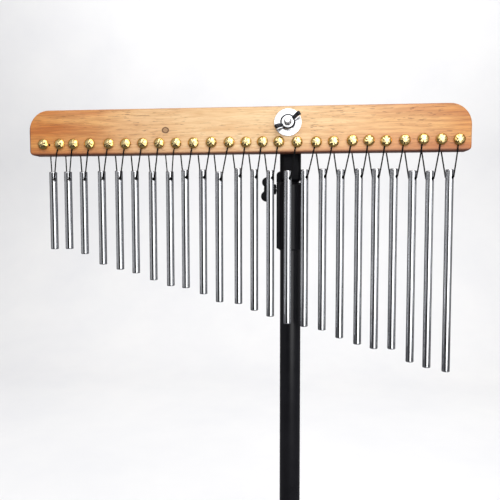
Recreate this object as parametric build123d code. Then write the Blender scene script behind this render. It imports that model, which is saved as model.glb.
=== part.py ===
from build123d import *
import math
import os

# Bar chimes on a height-adjustable folding stand. Millimetres, +Z up.
# Origin: on the floor, on the axis of the pole. X runs along the crossbar,
# from the short rods to the long rods; -Y is the player's side, the front.

os.makedirs("parts", exist_ok=True)

UPRIGHT = (Align.CENTER, Align.CENTER, Align.MIN)   # solids that start at local z = 0
RUN = 0.05             # running clearance, radial
FIT = 0.02             # close clearance

# --- crossbar --------------------------------------------------------------
BAR_L = 450.0
BAR_H = 46.4
BAR_T = 16.0
BAR_TOP_Z = 700.0      # top edge above the floor, stand lowered
TOP_CORNER_R = 21.0
LOW_CORNER_R = 4.5
BAR_EDGE_R = 1.6       # roundover along the edges of both faces
BAR_X = -47.9          # bar centre: the clamp is off centre
BAR_Y = -20.5          # mid-plane of the bar
BAR_Z = BAR_TOP_Z - BAR_H / 2
FRONT = BAR_Y - BAR_T / 2
BACK = BAR_Y + BAR_T / 2

# --- studs: domed nails, one row along the lower half of the bar -----------
STUD_R = 5.5
STUD_H = 3.3
STUD_RIM = 0.4         # straight edge below the dome
STUD_LIFT = 1.5        # the heads stand off the wood by the cord beneath them
NAIL_R = 0.9
NAIL_DEPTH = 12.0
NAIL_POINT = 1.5       # length of the tapered tip
# x, z of each stud from the bar's centre
STUDS = [
    (-209.6, -11.9), (-192.2, -11.8), (-177.2, -11.9), (-159.6, -11.9), (-139.4, -12.1),
    (-121.4, -12.3), (-103.4, -12.2), (-86.0, -12.2), (-68.6, -12.6), (-50.6, -12.5),
    (-32.1, -12.1), (-13.7, -12.3), (3.4, -12.4), (20.0, -12.3), (36.6, -12.4),
    (54.8, -12.9), (74.0, -13.1), (90.9, -13.0), (109.5, -12.2), (125.9, -12.2),
    (142.6, -12.8), (160.6, -12.6), (178.6, -11.6), (196.0, -11.9), (213.0, -12.4),
]

# --- chime rods ------------------------------------------------------------
ROD_R = 4.0
ROD_CHAMFER = 0.7
ROD_HOLE_R = 1.45      # cross hole for the cord
ROD_HOLE_DOWN = 8.0    # hole below the rod's upper end
# x from the bar's centre, rod length, z of the upper end from the bar's centre
RODS = [
    (-203.6, 82.0, -40.1), (-187.3, 82.0, -39.8), (-170.3, 87.0, -40.1),
    (-150.5, 98.5, -39.6), (-131.9, 104.0, -39.4), (-114.7, 107.5, -39.7),
    (-95.8, 114.0, -40.4), (-77.5, 120.0, -40.4), (-61.2, 123.5, -38.9),
    (-42.6, 129.5, -39.1), (-25.6, 135.5, -41.3), (-5.7, 140.5, -37.9),
    (10.9, 146.0, -39.2), (27.5, 151.0, -40.3), (45.4, 158.0, -40.6),
    (62.4, 161.5, -39.8), (80.9, 165.5, -39.2), (98.9, 172.5, -40.1),
    (117.2, 179.5, -39.3), (134.0, 183.5, -39.5), (151.8, 183.5, -39.6),
    (170.3, 194.4, -41.7), (187.2, 199.4, -42.1), (206.4, 204.4, -40.9),
]

# --- hanging cord ----------------------------------------------------------
CORD_R = 0.6
CORD_HOLE_R = 0.85
CORD_HOLE_DX = -1.2    # cord hole from the stud's centre
CORD_HOLE_DZ = -2.6
FIRST_HOLE = (-203.0, -12.6)   # the cord starts in its own hole beside the first stud
CORD_HALF_X = 6.4      # half the spread of the two legs along the bar
CORD_OFF = 0.75        # cord centre line outside the wood
CORD_BEND = 1.0        # bend radius of the cord's centre line
KNOT_R = 1.0
# direction of the cord through a rod, from back to front
_cord_angle = math.atan2(2 * CORD_HALF_X, BAR_T + 2 * CORD_OFF)
CORD_DX, CORD_DY = math.sin(_cord_angle), -math.cos(_cord_angle)

# --- clamp at the middle ---------------------------------------------------
BOLT_R = 3.0
BOLT_X = -2.3
BOLT_Z = BAR_Z + 6.6
WASHER_R = 13.8        # wide front washer
WASHER_T = 1.6
REAR_WASHER_R = 13.0   # fibre washer between the bar and the stand head
REAR_WASHER_T = 1.95
NUT_Y = FRONT - WASHER_T - 0.05    # seat of the wing nut
BOLT_TIP_Y = NUT_Y - 14.0
WING_ANGLE = 30.0      # turn of the wing nut about the bolt

# --- stand head and tubes --------------------------------------------------
HEAD_W = 22.0
HEAD_FRONT = BACK + 2.0
HEAD_PLATE_T = 11.0
HEAD_BLOCK_D = 21.0
HEAD_EDGE_R = 3.3
HEAD_BOTTOM_Z = BAR_Z - 51.4
HEAD_STEP_Z = BAR_Z - 25.0     # top of the block
HEAD_TOP_Z = BAR_Z + 19.0
POCKET_Y = HEAD_FRONT + HEAD_PLATE_T - 4.6   # floor of the bolt head's pocket
HEAD_PIN_R = 2.0
HEAD_PIN_Z = BAR_Z - 32.5
UPPER_R = 8.0
UPPER_WALL = 1.2
UPPER_LEN = 318.0
UPPER_TOP_Z = HEAD_STEP_Z - 2.1
UPPER_BOTTOM_Z = UPPER_TOP_Z - UPPER_LEN
BUSH_FLOOR = 2.5
BUSH_BOTTOM_Z = UPPER_BOTTOM_Z - BUSH_FLOOR
BUSH_H = 22.0
RIVET_R = 1.5
RIVET_Z = BUSH_BOTTOM_Z + 12.0
LOWER_R = 11.0
LOWER_WALL = 1.2
LOWER_BOTTOM_Z = 4.0
BUSH_R = LOWER_R - LOWER_WALL - RUN

# --- lock collar -----------------------------------------------------------
COLLAR_R = 13.0
COLLAR_TOP_Z = BAR_Z - 51.9
COLLAR_BOTTOM_Z = BAR_Z - 123.4
LOWER_TOP_Z = COLLAR_TOP_Z - 4.0
BOSS_X = -14.6         # flat face of the collar's screw boss
BOSS_HALF_Y = 7.0
LOCK_Z = BAR_Z - 58.7  # lock screw axis
LOCK_R = 2.5
INSERT_R = 4.0
KNOB_IN_X, KNOB_OUT_X = -15.2, -24.0
SCREW_END_X = KNOB_OUT_X + 2.0     # outer end of the screw, inside the knob

# --- folding base ----------------------------------------------------------
HUB_R = 17.0
HUB_BOTTOM_Z, HUB_TOP_Z = 117.0, 166.0
PIVOT_R, PIVOT_Z = 26.0, 140.0     # leg pivots: distance from the pole axis, height
PIN_R = 3.0
LUG_HALF = 9.2         # half widths of the hub's lugs and of the slots in them
SLOT_HALF = 4.15
SLOT_IN_R = HUB_R + 0.4
SET_R = 2.5            # set screw
SET_Z = HUB_BOTTOM_Z + 5.5
SET_END_Y = -HUB_R + 0.6
LEG_R = 7.0
LEG_WALL = 1.5
LEG_START = 14.5       # tube ends, from the pivot
LEG_END = 249.0
LEG_SLOPE = math.radians(32.0)     # below horizontal when open
FOOT_R = 9.5
FOOT_END = 257.0
FOOT_SOCKET = 17.0     # length of leg inside the foot
LEG_AZIMUTH = {"left": 210.0, "right": 330.0, "rear": 90.0}


# --- helpers ---------------------------------------------------------------
def rod_along(start, end, radius):
    """Cylinder from point start to point end."""
    start, end = Vector(*start), Vector(*end)
    span = end - start
    return Plane(origin=start, z_dir=span) * Cylinder(radius, span.length, align=UPRIGHT)


def rod_x(x0, x1, z, radius):
    """Cylinder along X at height z, crossing the pole axis line."""
    return rod_along((x0, 0, z), (x1, 0, z), radius)


def rod_y(x, z, y0, y1, radius):
    return rod_along((x, y0, z), (x, y1, z), radius)


def rod_z(z0, z1, radius):
    """Cylinder on the pole axis."""
    return rod_along((0, 0, z0), (0, 0, z1), radius)


def bolt_rod(y0, y1, radius):
    """Cylinder on the axis of the clamp bolt."""
    return rod_y(BOLT_X, BOLT_Z, y0, y1, radius)


def front_plane(x, y, z):
    """Plane facing the player (-Y), with local x along +X and local y up."""
    return Plane(origin=(x, y, z), x_dir=(1, 0, 0), z_dir=(0, -1, 0))


def y_plane(x, y, z, way):
    """Plane facing +Y (way 1) or -Y (way -1)."""
    return Plane(origin=(x, y, z), z_dir=(0, way, 0))


def x_plane(x):
    """Plane facing +X, with local x along +Y and local y up."""
    return Plane(origin=(x, 0, 0), x_dir=(0, 1, 0), z_dir=(1, 0, 0))


def radial_plane(azimuth):
    """Plane whose local x is radial, local y is up and normal is tangential."""
    c, s = math.cos(math.radians(azimuth)), math.sin(math.radians(azimuth))
    return Plane(origin=(0, 0, 0), x_dir=(c, s, 0), z_dir=(s, -c, 0))


def polygon(*points):
    return make_face(Polyline(*points, close=True))


def hexagon(apothem):
    return RegularPolygon(apothem, 6, major_radius=False)


def circles(shape):
    return shape.edges().filter_by(GeomType.CIRCLE)


def one(shape):
    """The single solid of a shape."""
    solids = shape.solids()
    assert len(solids) == 1, len(solids)
    return solids[0]


def save(name, *solids):
    shape = solids[0] if len(solids) == 1 else Compound(children=list(solids))
    shape.label = name
    export_step(shape, f"parts/{name}.step")


# --- crossbar, studs and rods ----------------------------------------------
def cord_holes():
    """x, z of every cord hole through the bar, one per stud."""
    first = (BAR_X + FIRST_HOLE[0], BAR_Z + FIRST_HOLE[1])
    return [first] + [(BAR_X + x + CORD_HOLE_DX, BAR_Z + z + CORD_HOLE_DZ)
                      for x, z in STUDS[1:]]


def crossbar():
    """One board, rounded at the corners, drilled for bolt, nails and cord."""
    outline = Rectangle(BAR_L, BAR_H)
    outline = fillet(outline.vertices().group_by(Axis.Y)[-1], TOP_CORNER_R)
    outline = fillet(outline.vertices().group_by(Axis.Y)[0], LOW_CORNER_R)
    board = front_plane(BAR_X, BACK, BAR_Z) * extrude(outline, BAR_T)
    faces = board.faces().filter_by(Axis.Y)
    board = fillet([edge for face in faces for edge in face.edges()], BAR_EDGE_R)
    holes = [bolt_rod(BACK + 1, FRONT - 1, BOLT_R + 0.2)]
    for (stud_x, stud_z), (hole_x, hole_z) in zip(STUDS, cord_holes()):
        holes.append(rod_y(BAR_X + stud_x, BAR_Z + stud_z,
                           FRONT - 1, FRONT + NAIL_DEPTH + 0.5, NAIL_R))
        holes.append(rod_y(hole_x, hole_z, FRONT - 1, BACK + 1, CORD_HOLE_R))
    return one(board - holes)


def stud(x, z):
    """Domed head, shank and tapered tip."""
    rise = STUD_H - STUD_RIM
    dome_r = (STUD_R**2 + rise**2) / (2 * rise)
    head = Pos(0, 0, STUD_H - dome_r) * Sphere(dome_r) & Pos(0, 0, STUD_RIM + 5) * Box(20, 20, 10)
    head += Cylinder(STUD_R, STUD_RIM, align=UPRIGHT)
    seat_y = FRONT - STUD_LIFT
    head = y_plane(x, seat_y, z, -1) * head
    tip_y = FRONT + NAIL_DEPTH - NAIL_POINT
    shank = rod_y(x, z, seat_y - 0.5, tip_y, NAIL_R)
    tip = y_plane(x, tip_y, z, 1) * Cone(NAIL_R, 0.15, NAIL_POINT, align=UPRIGHT)
    return one(head + shank + tip)


def chime(x, length, top_z):
    rod = Pos(x, BAR_Y, top_z - length) * Cylinder(ROD_R, length, align=UPRIGHT)
    rod = chamfer(circles(rod), ROD_CHAMFER)
    z = top_z - ROD_HOLE_DOWN
    reach = 9
    rod -= rod_along((x - reach * CORD_DX, BAR_Y - reach * CORD_DY, z),
                     (x + reach * CORD_DX, BAR_Y + reach * CORD_DY, z), ROD_HOLE_R)
    return one(rod)


# --- hanging cord: one line laced from stud to stud ------------------------
def bent_cord(points, bend, radius):
    """Round cord through the points, each corner bent to an arc."""
    points = [Vector(*point) for point in points]
    edges, last = [], points[0]
    for before, corner, after in zip(points[:-2], points[1:-1], points[2:]):
        back, ahead = (before - corner).normalized(), (after - corner).normalized()
        half = math.acos(max(-1.0, min(1.0, back.dot(ahead)))) / 2
        reach = bend / math.tan(half)
        arc_start, arc_end = corner + back * reach, corner + ahead * reach
        middle = corner + (back + ahead).normalized() * (bend / math.sin(half) - bend)
        edges += [Line(last, arc_start), ThreePointArc(arc_start, middle, arc_end)]
        last = arc_end
    edges.append(Line(last, points[-1]))
    path = Wire([edge.edge() for edge in edges])
    return sweep(Plane(origin=points[0], z_dir=points[1] - points[0]) * Circle(radius), path=path)


def stopper_knot(x, z):
    """Knot against the face of the bar."""
    # radius, distance along the cord
    profile = polygon((0, 0), (0.45, 0), (0.85, 0.25), (KNOT_R, 0.7), (0.85, 1.15),
                      (CORD_R, 1.4), (CORD_R, 2.2), (0, 2.2))
    place = Plane(origin=(x, FRONT - 1.45, z), x_dir=(1, 0, 0), z_dir=(0, 0, 1))
    return place * revolve(profile, Axis.Y)


def cord_bay(rod_x_pos, rod_top_z, hole, next_hole, first):
    """From a hole, down the back, through the rod, up the front to the next hole."""
    x, rod_hole_z = rod_x_pos, rod_top_z - ROD_HOLE_DOWN
    hole_x, hole_z = hole
    next_x, next_z = next_hole
    low_z = BAR_Z - BAR_H / 2 + 1.0
    out = ROD_R + CORD_R + 0.35
    # sideways run on the front, straight towards the next hole within limits
    reach = min(9.2, max(5.0, 0.775 * (next_x - x) + 0.9))
    start_y = FRONT + (0.75 if first else 0.3)
    bay = bent_cord([
        (hole_x, start_y, hole_z),
        (hole_x, BACK + CORD_OFF, hole_z),
        (x - CORD_HALF_X, BACK + CORD_OFF, low_z),
        (x - out * CORD_DX, BAR_Y - out * CORD_DY, rod_hole_z),
        (x + out * CORD_DX, BAR_Y + out * CORD_DY, rod_hole_z),
        (x + reach, FRONT - CORD_OFF, low_z),
        (next_x, FRONT - CORD_OFF, next_z),
    ], CORD_BEND, CORD_R)
    if first:
        bay += stopper_knot(hole_x, hole_z)
    return one(bay)


def hanging_cord():
    holes = cord_holes()
    return [cord_bay(BAR_X + x, BAR_Z + top, holes[i], holes[i + 1], first=i == 0)
            for i, (x, _, top) in enumerate(RODS)]


# --- clamp: bolt from behind, washers, wing nut in front -------------------
def front_washer():
    washer = bolt_rod(FRONT - FIT, FRONT - FIT - WASHER_T, WASHER_R)
    washer = fillet(circles(washer), 0.35)
    return one(washer - bolt_rod(FRONT + 2, FRONT - 5, BOLT_R + 0.25))


def rear_washer():
    washer = bolt_rod(BACK + FIT, BACK + FIT + REAR_WASHER_T, REAR_WASHER_R)
    return one(washer - bolt_rod(BACK - 2, BACK + 6, BOLT_R + 0.15))


def clamp_bolt():
    bolt = bolt_rod(POCKET_Y + 0.5, BOLT_TIP_Y, BOLT_R)
    bolt = chamfer(bolt.edges().sort_by(Axis.Y)[0], 0.6)
    bolt += y_plane(BOLT_X, POCKET_Y + FIT, BOLT_Z, 1) * extrude(hexagon(5.0), 4.0)
    return one(bolt)


def wing_nut():
    barrel = y_plane(BOLT_X, NUT_Y, BOLT_Z, -1) * Cone(7.0, 5.8, 5.8, align=UPRIGHT)
    barrel = fillet(circles(barrel), 0.5)
    # wing outline: distance from the bolt axis, distance out from the seat
    blade = polygon((3.0, 0.8), (6.9, 1.0), (10.9, 6.4), (14.1, 10.4), (14.3, 13.6),
                    (12.7, 15.5), (10.2, 14.8), (8.1, 10.4), (5.4, 5.6), (3.0, 5.2))
    blade = fillet(blade.vertices().filter_by_position(Axis.X, 7.5, 15.0), 1.1)
    wing = extrude(blade, 1.9, both=True)
    wings = Plane(origin=(BOLT_X, NUT_Y, BOLT_Z), x_dir=(1, 0, 0), z_dir=(0, 0, 1)) * (
        mirror(wing, Plane.XZ) + mirror(mirror(wing, Plane.XZ), Plane.YZ))
    nut = barrel + wings
    nut -= bolt_rod(NUT_Y + 2, BOLT_TIP_Y - 3, BOLT_R + RUN)
    return one(nut.rotate(Axis((BOLT_X, 0, BOLT_Z), (0, -1, 0)), WING_ANGLE))


# --- stand head and upper tube ---------------------------------------------
def head_pin_hole():
    return rod_x(-20, 20, HEAD_PIN_Z, HEAD_PIN_R)


def rivet_hole():
    return rod_x(-20, 20, RIVET_Z, RIVET_R)


def stand_head():
    """Block on the upper tube, with a round-topped plate behind the bar."""
    bottom, step, top = HEAD_BOTTOM_Z, HEAD_STEP_Z, HEAD_TOP_Z
    block = Pos(0, HEAD_FRONT + HEAD_BLOCK_D / 2, 0) * extrude(
        RectangleRounded(HEAD_W, HEAD_BLOCK_D, HEAD_EDGE_R), step - bottom)
    block = Pos(0, 0, bottom) * block
    plate = Pos(0, HEAD_FRONT + HEAD_PLATE_T / 2, bottom) * extrude(
        RectangleRounded(HEAD_W, HEAD_PLATE_T, HEAD_EDGE_R), top - bottom)
    crown_z = top - HEAD_W / 2
    crown = rod_y(0, crown_z, HEAD_FRONT - 1, HEAD_FRONT + 30, HEAD_W / 2)
    below_crown = Pos(0, HEAD_FRONT + 10, (bottom + crown_z) / 2) * Box(60, 60, crown_z - bottom)
    plate = plate & (crown + below_crown)
    # sloping web from the block up to the back of the plate
    shoulder = x_plane(0) * extrude(
        polygon((HEAD_FRONT + 4, step - 4), (HEAD_FRONT + HEAD_BLOCK_D - 3, step - 1),
                (HEAD_FRONT + HEAD_PLATE_T - 1, step + 16), (HEAD_FRONT + 4, step + 16)),
        HEAD_W / 2 - 3.2, both=True)
    # ear on the -X side, flush with the collar's boss
    ear_in_x, ear_h = -7, 11.0
    ear = Pos((BOSS_X + ear_in_x) / 2, 0, bottom + ear_h / 2) * Box(
        ear_in_x - BOSS_X, 2 * BOSS_HALF_Y, ear_h)
    ear = fillet(ear.edges().filter_by(Axis.Y).group_by(Axis.Z)[-1].sort_by(Axis.X)[0], 4.0)
    head = block + plate + shoulder + ear
    low_right = head.edges().filter_by(Axis.Y).group_by(Axis.Z)[0].sort_by(Axis.X)[-1]
    head = chamfer(low_right, 2.6)
    head -= rod_z(bottom - 1, step - 2, UPPER_R + FIT)
    head -= bolt_rod(HEAD_FRONT - 1, POCKET_Y + 1, BOLT_R + 0.15)
    head -= y_plane(BOLT_X, POCKET_Y, BOLT_Z, 1) * extrude(hexagon(5.1), 20)
    head -= head_pin_hole()
    return one(head)


def upper_tube():
    tube = rod_z(UPPER_TOP_Z, UPPER_BOTTOM_Z, UPPER_R)
    tube -= rod_z(UPPER_TOP_Z + 1, UPPER_BOTTOM_Z - 1, UPPER_R - UPPER_WALL)
    tube -= head_pin_hole()
    tube -= rivet_hole()
    return one(tube)


def head_pin():
    half = HEAD_W / 2 - 0.2
    pin = rod_x(-half, half, HEAD_PIN_Z, HEAD_PIN_R)
    return one(chamfer(circles(pin), 0.3))


def glide_bush():
    """Bush on the upper tube's lower end, running inside the lower tube."""
    bush = Pos(0, 0, BUSH_BOTTOM_Z) * Cylinder(BUSH_R, BUSH_H, align=UPRIGHT)
    bush -= rod_z(BUSH_BOTTOM_Z + BUSH_FLOOR, BUSH_BOTTOM_Z + 60, UPPER_R)
    bush -= rod_z(BUSH_BOTTOM_Z - 1, BUSH_BOTTOM_Z + 5, UPPER_R - 2.5)
    bush -= rivet_hole()
    return one(bush)


def bush_rivet():
    half = BUSH_R - 0.3
    return one(rod_x(-half, half, RIVET_Z, RIVET_R))


# --- lower tube and lock ---------------------------------------------------
def lower_tube():
    tube = rod_z(LOWER_BOTTOM_Z, LOWER_TOP_Z, LOWER_R)
    tube -= rod_z(LOWER_BOTTOM_Z - 1, LOWER_TOP_Z + 1, LOWER_R - LOWER_WALL)
    tube -= rod_x(-30, 0, LOCK_Z, 3.2)
    return one(tube)


def lock_collar():
    """Collar on the lower tube's upper end, with a screw boss on the -X side."""
    top, bottom = COLLAR_TOP_Z, COLLAR_BOTTOM_Z
    collar = Pos(0, 0, bottom) * Cylinder(COLLAR_R, top - bottom, align=UPRIGHT)
    collar = chamfer(circles(collar).sort_by(Axis.Z)[-1], 2.6)
    collar = chamfer(circles(collar).sort_by(Axis.Z)[0], 1.6)
    profile = polygon((BOSS_X, bottom + 2.6), (BOSS_X + 4.6, bottom), (-6, bottom),
                      (-6, top), (BOSS_X, top))
    boss = front_plane(0, BOSS_HALF_Y, 0) * extrude(profile, 2 * BOSS_HALF_Y)
    boss = fillet(boss.edges().filter_by(Axis.Z).group_by(Axis.X)[0], 1.5)
    collar += boss
    collar -= rod_z(bottom - 1, LOWER_TOP_Z + FIT, LOWER_R + FIT)
    collar -= rod_z(bottom, top + 2, UPPER_R + RUN)
    collar -= rod_x(-30, 0, LOCK_Z, INSERT_R)
    return one(collar)


def threaded_insert():
    insert = rod_x(BOSS_X + 0.1, -11.15, LOCK_Z, INSERT_R)
    return one(insert - rod_x(-30, 0, LOCK_Z, LOCK_R + RUN))


def lock_screw():
    screw = rod_x(-UPPER_R - 0.05, SCREW_END_X, LOCK_Z, LOCK_R)
    return one(chamfer(screw.edges().sort_by(Axis.X)[-1], 0.4))


def lock_knob():
    """Round barrel with two rounded lobes, above and below."""
    barrel = rod_x(KNOB_IN_X, KNOB_OUT_X, LOCK_Z, 5.4)
    barrel = fillet(circles(barrel), 0.8)
    lobe_x, lobe_z, lobe_r, lobe_t = -24.8, 6.9, 4.9, 4.8
    lobes = Pos(lobe_x, lobe_z) * Circle(lobe_r) + Pos(lobe_x, -lobe_z) * Circle(lobe_r)
    lobes += polygon((-17.5, 4.6), (-22.2, 11.0), (-26.6, 3.4), (-26.6, -3.4),
                     (-22.2, -11.0), (-17.5, -4.6))
    lobes = front_plane(0, lobe_t / 2, LOCK_Z) * extrude(lobes, lobe_t)
    knob = barrel + lobes
    return one(knob - rod_x(0, SCREW_END_X, LOCK_Z, LOCK_R))


# --- folding base ----------------------------------------------------------
def stop_z(radius):
    """Height of the stop face above an open leg, at a distance from the pole axis."""
    return (PIVOT_Z - (radius - PIVOT_R) * math.tan(LEG_SLOPE)
            + (LEG_R + 0.05) / math.cos(LEG_SLOPE))


def tripod_hub():
    """Sleeve with three slotted lugs for the legs."""
    hub = Pos(0, 0, HUB_BOTTOM_Z) * Cylinder(HUB_R, HUB_TOP_Z - HUB_BOTTOM_Z, align=UPRIGHT)
    hub = chamfer(circles(hub), 2.0)
    lug = polygon((8, PIVOT_Z - 12.5), (PIVOT_R, PIVOT_Z - 12.5), (34.5, PIVOT_Z - 7.5),
                  (34.5, PIVOT_Z + 13), (27, PIVOT_Z + 21), (8, PIVOT_Z + 21))
    lug = fillet(lug.vertices().group_by(Axis.X)[-1], 4.0)
    slot = polygon((SLOT_IN_R, stop_z(SLOT_IN_R)), (45, stop_z(45)),
                   (45, PIVOT_Z - 30), (SLOT_IN_R, PIVOT_Z - 30))
    for azimuth in LEG_AZIMUTH.values():
        hub += radial_plane(azimuth) * extrude(lug, LUG_HALF, both=True)
    for azimuth in LEG_AZIMUTH.values():
        plane = radial_plane(azimuth)
        hub -= plane * extrude(slot, SLOT_HALF, both=True)
        hub -= plane * (Pos(PIVOT_R, PIVOT_Z) * extrude(Circle(PIN_R), 20, both=True))
    hub -= rod_z(HUB_BOTTOM_Z - 5, HUB_TOP_Z + 5, LOWER_R + FIT)
    hub -= rod_y(0, SET_Z, 0, -30, SET_R)
    return one(hub)


def hub_set_screw():
    screw = rod_y(0, SET_Z, -LOWER_R - 0.03, SET_END_Y, SET_R)
    return one(screw - y_plane(0, SET_END_Y, SET_Z, 1) * extrude(hexagon(1.25), 2.5))


def leg_pin(azimuth):
    """Pin with a chamfered head at each end."""
    half, cap_r, cap_t = LUG_HALF + FIT, 4.4, 1.3
    pin = extrude(Circle(PIN_R), half, both=True)
    for side in (1, -1):
        cap = Pos(0, 0, side * (half + cap_t / 2)) * Cylinder(cap_r, cap_t)
        cap = chamfer(circles(cap).sort_by(Axis.Z)[-1 if side > 0 else 0], 0.5)
        pin += cap
    return one(radial_plane(azimuth) * (Pos(PIVOT_R, PIVOT_Z) * pin))


def leg_frame(azimuth):
    """Frame of an open leg: local x along it from the pivot, local y across."""
    return radial_plane(azimuth) * Plane(
        origin=(PIVOT_R, PIVOT_Z, 0),
        x_dir=(math.cos(LEG_SLOPE), -math.sin(LEG_SLOPE), 0), z_dir=(0, 0, 1))


def leg(azimuth):
    """Tube with a flat eye for the pin."""
    eye_l = 18
    eye = extrude(Circle(LEG_R) + Pos(eye_l / 2, 0) * Rectangle(eye_l, 2 * LEG_R),
                  SLOT_HALF - 0.15, both=True)
    eye = chamfer(eye.edges().filter_by(GeomType.LINE).filter_by(Axis.X), 0.5)
    tube = x_plane(LEG_START) * extrude(Circle(LEG_R), LEG_END - LEG_START)
    tube -= x_plane(20) * extrude(Circle(LEG_R - LEG_WALL), LEG_END)
    body = eye + tube
    body -= extrude(Circle(PIN_R + RUN), 20, both=True)
    return one(leg_frame(azimuth) * body)


def foot(azimuth):
    """Cap on the leg's end, cut flat at the floor."""
    plane = x_plane(LEG_END - FOOT_SOCKET)
    cap = plane * extrude(Circle(FOOT_R), FOOT_END - LEG_END + FOOT_SOCKET)
    cap = fillet(circles(cap).sort_by(Axis.X)[-1], 2.5)
    cap = chamfer(circles(cap).sort_by(Axis.X)[0], 1.0)
    cap -= plane * extrude(Circle(LEG_R), FOOT_SOCKET + FIT)
    cap = leg_frame(azimuth) * cap
    cap -= Pos(0, 0, -20) * Box(900, 900, 40)
    return one(cap)


def pole_foot():
    cup = Cylinder(14.5, 21.0, align=UPRIGHT)
    cup = fillet(circles(cup).sort_by(Axis.Z)[-1], 2.0)
    cup = chamfer(circles(cup).sort_by(Axis.Z)[0], 0.8)
    return one(cup - rod_z(LOWER_BOTTOM_Z, 40, LOWER_R))


# --- write every piece -----------------------------------------------------
save("stud_nails", *[stud(BAR_X + x, BAR_Z + z) for x, z in STUDS])
for number, (x, length, top) in enumerate(RODS, start=1):
    save(f"chime_{number:02d}", chime(BAR_X + x, length, BAR_Z + top))
save("hanging_cord", *hanging_cord())
save("leg_pins", *[leg_pin(azimuth) for azimuth in LEG_AZIMUTH.values()])
for side, azimuth in LEG_AZIMUTH.items():
    save(f"leg_{side}", leg(azimuth))
    save(f"foot_{side}", foot(azimuth))
for piece in (crossbar, front_washer, rear_washer, clamp_bolt, wing_nut, stand_head,
              upper_tube, head_pin, glide_bush, bush_rivet, lower_tube, lock_collar,
              threaded_insert, lock_screw, lock_knob, tripod_hub, hub_set_screw, pole_foot):
    save(piece.__name__, piece())
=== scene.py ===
"""Bar chimes on a tripod stand.

A wooden crossbar runs along X with its front face towards -Y, and 24 aluminium rods hang below it
from one long cord. The stand reaches down to the floor at z = 0. Sizes and places are in
millimetres, in the frame of the CAD pieces, unless a comment says metres; MM turns them into
metres. Studs, rods, cord, wing nut, bolt and knob are rebuilt here in more detail.
"""
import bpy, bmesh, math, random
import numpy as np
from mathutils import Vector, Matrix


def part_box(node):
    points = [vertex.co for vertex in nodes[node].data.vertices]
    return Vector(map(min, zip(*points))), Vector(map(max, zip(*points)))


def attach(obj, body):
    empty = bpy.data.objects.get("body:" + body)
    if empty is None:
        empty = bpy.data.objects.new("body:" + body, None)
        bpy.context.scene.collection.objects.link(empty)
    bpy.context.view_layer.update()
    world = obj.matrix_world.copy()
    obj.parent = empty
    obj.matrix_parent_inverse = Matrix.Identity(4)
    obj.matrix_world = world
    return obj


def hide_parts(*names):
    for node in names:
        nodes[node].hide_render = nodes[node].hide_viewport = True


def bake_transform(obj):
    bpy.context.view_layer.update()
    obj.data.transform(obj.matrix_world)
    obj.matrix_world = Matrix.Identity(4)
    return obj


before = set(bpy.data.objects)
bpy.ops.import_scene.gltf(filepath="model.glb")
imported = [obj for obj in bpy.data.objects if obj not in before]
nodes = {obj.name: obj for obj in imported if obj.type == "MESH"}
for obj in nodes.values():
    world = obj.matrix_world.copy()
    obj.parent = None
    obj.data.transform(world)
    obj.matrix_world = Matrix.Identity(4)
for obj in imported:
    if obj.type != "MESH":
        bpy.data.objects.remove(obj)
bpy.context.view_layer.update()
random.seed(7)
rng = np.random.default_rng(7)

# ---------------------------------------------------------------- dimensions
MM = 0.001

# crossbar: centre, size and the Y of its two broad faces
BAR_HEIGHT, BAR_DEPTH, BAR_HALF_LENGTH = 46.4, 16.0, 225.0
BAR_TOP = 700.0
BAR_X, BAR_Y, BAR_Z = -47.9, -20.5, BAR_TOP - BAR_HEIGHT / 2
BAR_BOTTOM = BAR_Z - BAR_HEIGHT / 2
FRONT, BACK = BAR_Y - BAR_DEPTH / 2, BAR_Y + BAR_DEPTH / 2

# clamp bolt axis, which runs along Y
BOLT_X, BOLT_Z = -2.3, BAR_Z + 6.6

# studs: places from the centre of the bar, along X and along Z
STUD_X = [-209.6, -192.2, -177.2, -159.6, -139.4, -121.4, -103.4, -86.0,
          -68.6, -50.6, -32.1, -13.7, 3.4, 20.0, 36.6, 54.8, 74.0, 90.9,
          109.5, 125.9, 142.6, 160.6, 178.6, 196.0, 213.0]
STUD_Z = [-11.9, -11.8, -11.9, -11.9, -12.1, -12.3, -12.2, -12.2, -12.6,
          -12.5, -12.1, -12.3, -12.4, -12.3, -12.4, -12.9, -13.1, -13.0,
          -12.2, -12.2, -12.8, -12.6, -11.6, -11.9, -12.4]

# rods: each stands in for one CAD piece and is drilled across near its top
ROD_RADIUS, ROD_HOLE_RADIUS, ROD_HOLE_DOWN = 4.0, 1.7, 8.0
ROD_NODES = [f"chime_{i + 1:02d}" for i in range(24)]
ROD_X = [(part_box(node)[0].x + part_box(node)[1].x) / 2 / MM for node in ROD_NODES]

# cord: how far its axis lies off the bar, and how far it spreads to each side of a rod
CORD_RADIUS, CORD_OFF, CORD_SPREAD, CORD_BEND = 0.6, 0.75, 6.4, 1.0

# the rod holes are turned to follow the cord from the back of the bar to the front
HOLE_ANGLE = math.atan2(2 * CORD_SPREAD, BAR_DEPTH + 2 * CORD_OFF)
HOLE_DIR_X, HOLE_DIR_Y = math.sin(HOLE_ANGLE), -math.cos(HOLE_ANGLE)


# -------------------------------------------------------------- mesh helpers
def add_object(name, mesh):
    ob = bpy.data.objects.new(name, mesh)
    bpy.context.scene.collection.objects.link(ob)
    return ob


def shade_smooth(mesh, sharp_angle=None):
    """Smooths every face; edges steeper than sharp_angle (degrees) stay sharp."""
    mesh.polygons.foreach_set("use_smooth", [True] * len(mesh.polygons))
    if sharp_angle is not None:
        mesh.set_sharp_from_angle(angle=math.radians(sharp_angle))


def object_from(name, bm, material=None):
    mesh = bpy.data.meshes.new(name)
    bm.normal_update()
    bm.to_mesh(mesh)
    bm.free()
    if material:
        mesh.materials.append(material)
    return add_object(name, mesh)


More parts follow.
